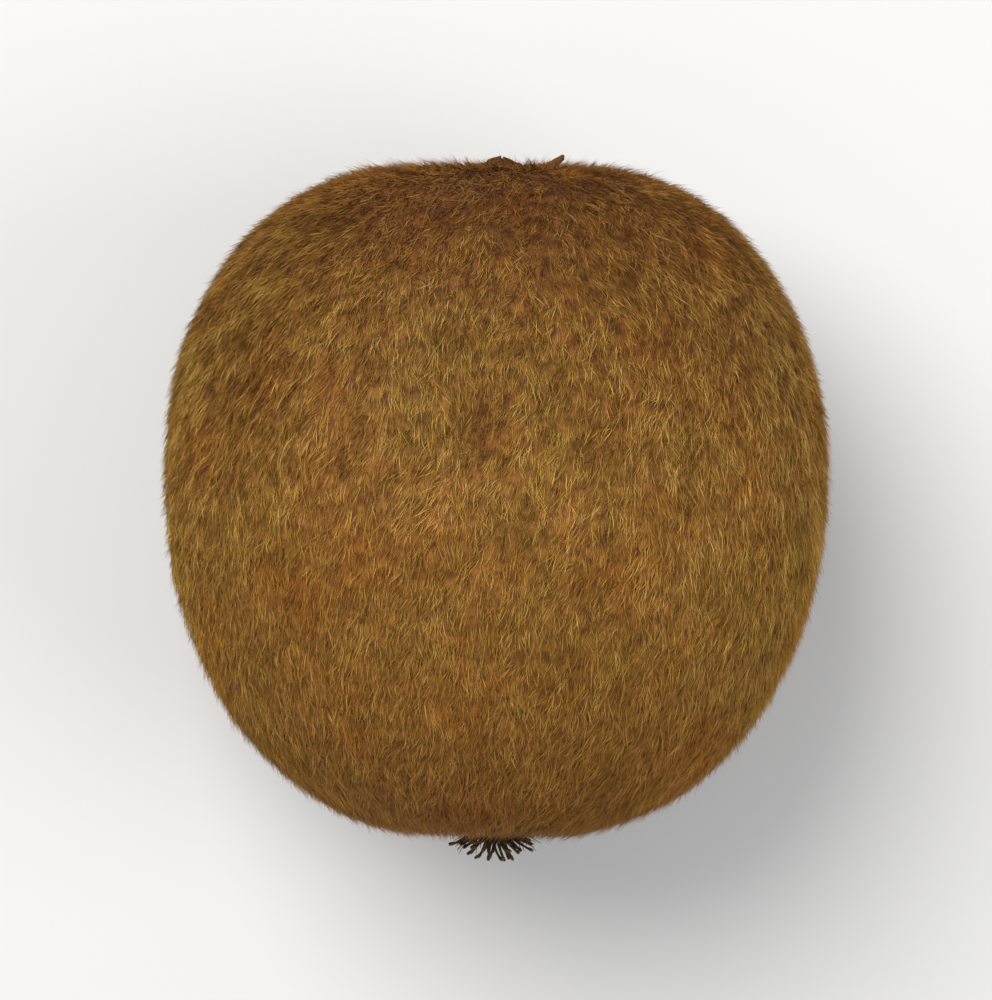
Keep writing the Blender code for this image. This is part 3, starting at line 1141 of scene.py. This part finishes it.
def add_styles(bm, centre, seat):
    """Dried styles: dark threads with slightly swollen tips, each with its own curl."""
    dice = random.Random(STYLE_SEED)
    curls = random.Random(STYLE_SEED + 1)
    for index in range(STYLES):
        outward = math.sqrt((index + 0.5) / STYLES)
        radial = around_axis(index * GOLDEN_TURN + dice.uniform(-0.2, 0.2))
        splay = STYLE_SPLAY * outward + dice.uniform(-0.12, 0.12)
        length = STYLE_LENGTH * dice.uniform(0.7, 1.15) + STYLE_SUNK
        bend = dice.uniform(-0.1, 0.45)
        distance = STYLE_SPAN * BUTTON_RADIUS * outward
        start = centre + radial * distance
        start.y = seat - button_height(distance) + STYLE_SUNK
        side_bend = curls.uniform(-0.9, 0.9)
        points = curled_path(start, radial, splay, bend, side_bend, length, STYLE_STEPS)
        radii = [style_radius(index, k / STYLE_STEPS) for k in range(STYLE_STEPS + 1)]
        add_thread(bm, points, radii, STYLE_SIDES)


def add_stamens(bm, centre, seat):
    """Shrivelled stamens: thin threads round the button, bent down among the hairs."""
    dice = random.Random(STAMEN_SEED)
    radii = [STAMEN_RADIUS * (1 - 0.5 * k / STAMEN_STEPS) for k in range(STAMEN_STEPS + 1)]
    for _ in range(STAMENS):
        radial = around_axis(dice.uniform(0, math.tau))
        start = centre + radial * BUTTON_RADIUS * dice.uniform(0.85, 1.02)
        start.y = seat - dice.uniform(0.05, 0.35) * MM
        splay = dice.uniform(0.75, 1.35)
        length = STAMEN_LENGTH * dice.uniform(0.5, 1.0)
        side_bend = dice.uniform(-1.4, 1.4)
        bend = dice.uniform(-0.5, 0.1)
        points = curled_path(start, radial, splay, bend, side_bend, length, STAMEN_STEPS)
        add_thread(bm, points, radii, STAMEN_SIDES)


def make_styles():
    _, end = end_centres()
    _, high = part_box("dried_styles")
    seat = high.y
    centre = Vector((end.x, seat, end.z))
    bm = bmesh.new()
    bm.verts.layers.float.new("along")
    add_button(bm, centre, seat)
    add_styles(bm, centre, seat)
    add_stamens(bm, centre, seat)
    dress(finish_mesh(bm, "styles_tuft", style_material()), "dry_style", "dried_styles")


# Stage


def make_floor():
    bpy.ops.mesh.primitive_plane_add(size=FLOOR_SIZE)
    floor = bpy.context.object
    floor.name = "floor"
    material, _, shader, _ = new_material("pale_floor", roughness=0.9, specular=0.1)
    shader.inputs["Base Color"].default_value = (0.66, 0.66, 0.655, 1.0)
    floor.data.materials.append(material)


def make_light(name, place, power, colour):
    """A soft round light that points at the fruit's middle."""
    data = bpy.data.lights.new(name, "AREA")
    data.shape = "DISK"
    data.size = LIGHT_SIZE
    data.energy = power
    data.color = colour
    light = bpy.data.objects.new(name, data)
    bpy.context.scene.collection.objects.link(light)
    light.location = place
    light.rotation_euler = (LIGHT_TARGET - light.location).to_track_quat("-Z", "Y").to_euler()


def make_lights():
    make_light("key", place=(-0.20, 0.24, 0.50), power=3.4, colour=(1.0, 0.98, 0.95))
    make_light("fill", place=(0.40, -0.10, 0.40), power=1.3, colour=(0.97, 0.98, 1.0))


def make_room():
    """Soft light from all round, stronger from above, with a horizon as bright as the far floor."""
    world = bpy.data.worlds.new("pale_room")
    world.use_nodes = True
    tree = world.node_tree
    _, _, z = split(tree, add_node(tree, "ShaderNodeTexCoord").outputs["Object"])
    sky = colour_ramp(tree, z, (0.0, (0.53, 0.54, 0.55)), (1.0, (0.97, 0.98, 1.0)))
    background = tree.nodes["Background"]
    feed(tree, background.inputs["Color"], sky)
    background.inputs["Strength"].default_value = ROOM_LIGHT
    bpy.context.scene.world = world
    bpy.context.scene.view_settings.view_transform = "Standard"


def make_camera():
    """A long lens straight above the fruit, with the picture's top towards +Y."""
    low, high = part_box("fruit")
    middle = (low + high) / 2
    seen_width = (high.x - low.x) / FRUIT_SHARE_OF_WIDTH
    seen_height = seen_width * IMAGE_HEIGHT / IMAGE_WIDTH
    distance = seen_height * LENS_MM / SENSOR_MM
    data = bpy.data.cameras.new("camera")
    data.lens = LENS_MM
    data.sensor_width = SENSOR_MM
    data.clip_start = 0.01
    data.clip_end = 10
    camera = bpy.data.objects.new("camera", data)
    bpy.context.scene.collection.objects.link(camera)
    camera.location = (middle.x, middle.y, middle.z + distance)
    bpy.context.scene.camera = camera


make_camera()
make_floor()
make_lights()
make_room()
fruit_skin = make_skin(skin_material())
make_hairs(fruit_skin)
make_scar()
make_sepals(fruit_skin)
make_styles()
